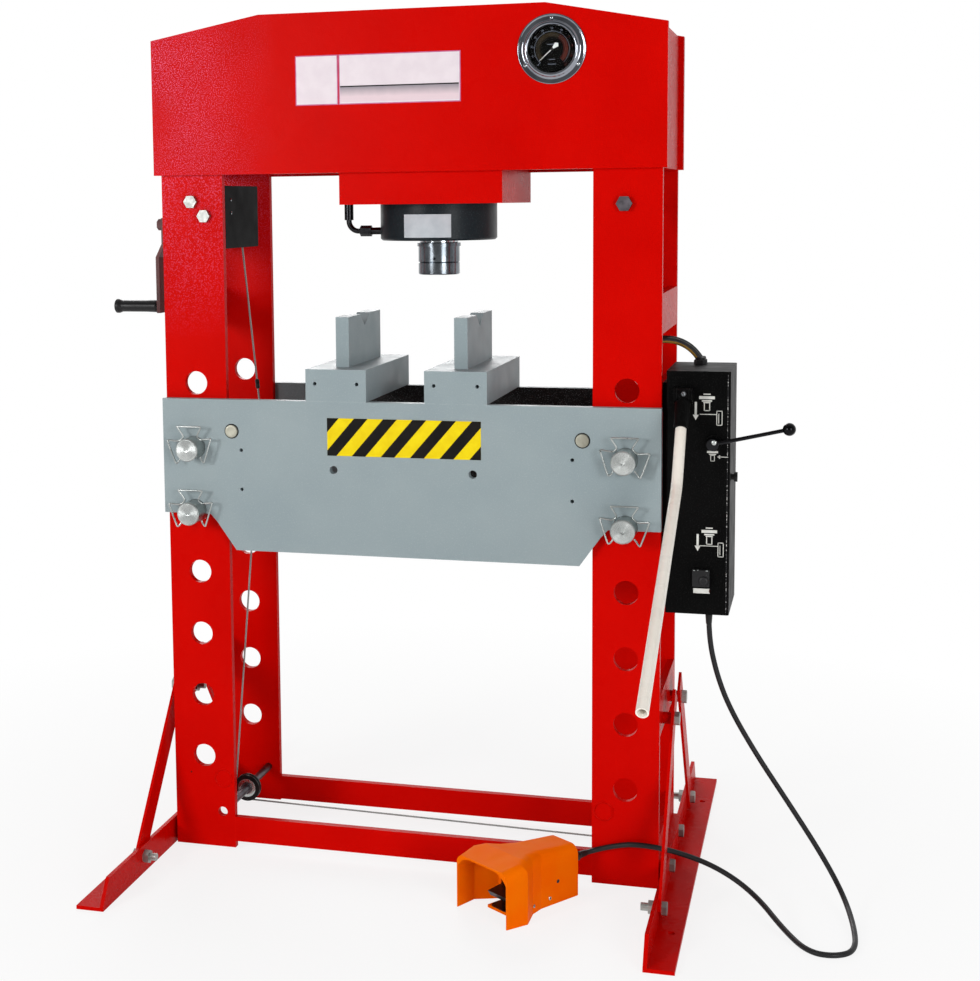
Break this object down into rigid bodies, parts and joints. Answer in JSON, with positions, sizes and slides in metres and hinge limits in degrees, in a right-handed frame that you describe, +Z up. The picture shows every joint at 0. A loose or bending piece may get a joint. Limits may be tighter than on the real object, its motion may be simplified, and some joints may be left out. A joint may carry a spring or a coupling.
{
  "type": "hydraulic shop press",
  "caption": "H-frame hydraulic shop press with a pinned, winch-raised bed, V-blocks, pressure gauge, side pump box with hand lever, and a cabled foot pedal.",
  "frame": {"origin": "on the floor, midway between the two columns and midway between their front and rear plates", "axes": "+Z up, the front (gauge side) faces -Y, +X runs to the pump box"},
  "size_m": [1.6491, 1.4328, 1.838],
  "materials": {
    "red_paint": "gloss powder coat",
    "dark_paint": "satin",
    "grey_paint": "satin",
    "bright_steel": "polished",
    "plain_steel": "zinc plated",
    "black_case": "matte",
    "gauge_glass": "clear",
    "white_plastic": "matte",
    "black_plastic": "matte",
    "black_paint": "satin",
    "lever_steel": "bright",
    "cream_paint": "gloss",
    "hose_rubber": "matte",
    "orange_plastic": "satin"
  },
  "bodies": {
    "frame": {"left_column_front_plate": "red_paint", "left_column_rear_plate": "red_paint", "right_column_front_plate": "red_paint", "right_column_rear_plate": "red_paint", "left_column_spacers": "red_paint", "right_column_spacers": "red_paint", "head_front_plate": "red_paint", "head_rear_plate": "red_paint", "bolster_block": "red_paint", "tie_bars": "red_paint", "left_foot": "red_paint", "right_foot": "red_paint", "foot_spacers": "red_paint", "foot_braces": "red_paint", "cylinder_barrel": "dark_paint", "cylinder_gland": "dark_paint", "winch_housing": "dark_paint", "bed_front_plate": "grey_paint", "bed_rear_plate": "grey_paint", "bed_cross_plates": "grey_paint", "left_v_block": "grey_paint", "right_v_block": "grey_paint", "gauge_bezel": "bright_steel", "return_pipe": "plain_steel", "bed_lift_bars": "plain_steel", "winch_wire": "plain_steel", "lift_wire": "plain_steel", "sheave_axles": "plain_steel", "frame_bolts": "plain_steel", "gauge_case": "black_case", "gauge_glass": "gauge_glass", "box_fittings": "black_plastic", "cable_glands": "black_plastic", "pump_box": "black_paint", "hydraulic_hoses": "hose_rubber", "pedal_cable": "hose_rubber", "pedal_hood": "orange_plastic"},
    "ram": {"ram": "bright_steel", "ram_nose": "bright_steel"},
    "winch_drum": {"winch_drum": "plain_steel"},
    "crank": {"winch_crank": "plain_steel"},
    "grip": {"crank_grip": "black_plastic"},
    "lower_left_sheave": {"lower_left_sheave": "black_plastic"},
    "lower_right_sheave": {"lower_right_sheave": "black_plastic"},
    "upper_right_sheave": {"upper_right_sheave": "black_plastic"},
    "needle": {"gauge_needle": "white_plastic"},
    "valve_lever": {"valve_lever": "lever_steel"},
    "pump_handle": {"pump_socket": "plain_steel", "pump_handle": "cream_paint"},
    "treadle": {"pedal_treadle": "black_plastic"},
    "left_upper_pin": {"left_upper_pin": "plain_steel", "left_upper_clip": "plain_steel"},
    "left_lower_pin": {"left_lower_pin": "plain_steel", "left_lower_clip": "plain_steel"},
    "right_upper_pin": {"right_upper_pin": "plain_steel", "right_upper_clip": "plain_steel"},
    "right_lower_pin": {"right_lower_pin": "plain_steel", "right_lower_clip": "plain_steel"}
  },
  "joints": [
    {"name": "ram_slide", "type": "slide", "parent": "frame", "child": "ram", "axis": [0, 0, -1], "range_m": [0, 0.185]},
    {"name": "left_upper_pin_slide", "type": "slide", "parent": "frame", "child": "left_upper_pin", "axis": [0, -1, 0], "range_m": [0, 0.36]},
    {"name": "left_lower_pin_slide", "type": "slide", "parent": "frame", "child": "left_lower_pin", "axis": [0, -1, 0], "range_m": [0, 0.36]},
    {"name": "right_upper_pin_slide", "type": "slide", "parent": "frame", "child": "right_upper_pin", "axis": [0, -1, 0], "range_m": [0, 0.36]},
    {"name": "right_lower_pin_slide", "type": "slide", "parent": "frame", "child": "right_lower_pin", "axis": [0, -1, 0], "range_m": [0, 0.36]},
    {"name": "crank_turn", "type": "hinge", "parent": "frame", "child": "crank", "pos_m": [-0.6, -0.043, 1.398], "axis": [1, 0, 0], "continuous": true},
    {"name": "drum_turn", "type": "hinge", "parent": "frame", "child": "winch_drum", "pos_m": [-0.452, -0.013, 1.44], "axis": [1, 0, 0], "continuous": true},
    {"name": "grip_turn", "type": "hinge", "parent": "crank", "child": "grip", "pos_m": [-0.65, -0.043, 1.214], "axis": [1, 0, 0], "continuous": true},
    {"name": "lower_left_sheave_turn", "type": "hinge", "parent": "frame", "child": "lower_left_sheave", "pos_m": [-0.429, 0, 0.087], "axis": [0, 1, 0], "continuous": true},
    {"name": "lower_right_sheave_turn", "type": "hinge", "parent": "frame", "child": "lower_right_sheave", "pos_m": [0.472, 0, 0.072], "axis": [0, 1, 0], "continuous": true},
    {"name": "upper_right_sheave_turn", "type": "hinge", "parent": "frame", "child": "upper_right_sheave", "pos_m": [0.4636, 0, 1.434], "axis": [0, 1, 0], "continuous": true},
    {"name": "needle_turn", "type": "hinge", "parent": "frame", "child": "needle", "pos_m": [0.3185, -0.178, 1.745], "axis": [0, 1, 0], "range_deg": [0, 270]},
    {"name": "valve_lever_turn", "type": "hinge", "parent": "frame", "child": "valve_lever", "pos_m": [0.645, -0.187, 0.952], "axis": [0, 1, 0], "range_deg": [-25, 25]},
    {"name": "pump_handle_turn", "type": "hinge", "parent": "frame", "child": "pump_handle", "pos_m": [0.586, -0.19, 1.05], "axis": [-1, 0, 0], "range_deg": [0, 45]},
    {"name": "treadle_press", "type": "hinge", "parent": "frame", "child": "treadle", "pos_m": [0.3096, -0.24185, 0.046], "axis": [0.809, -0.5878, 0], "range_deg": [0, 8], "stiffness_Nm_per_rad": 4, "springref_deg": -2.86}
  ],
  "couplings": [
    {"joint": "drum_turn", "follows": "crank_turn", "ratio": -0.275}
  ]
}
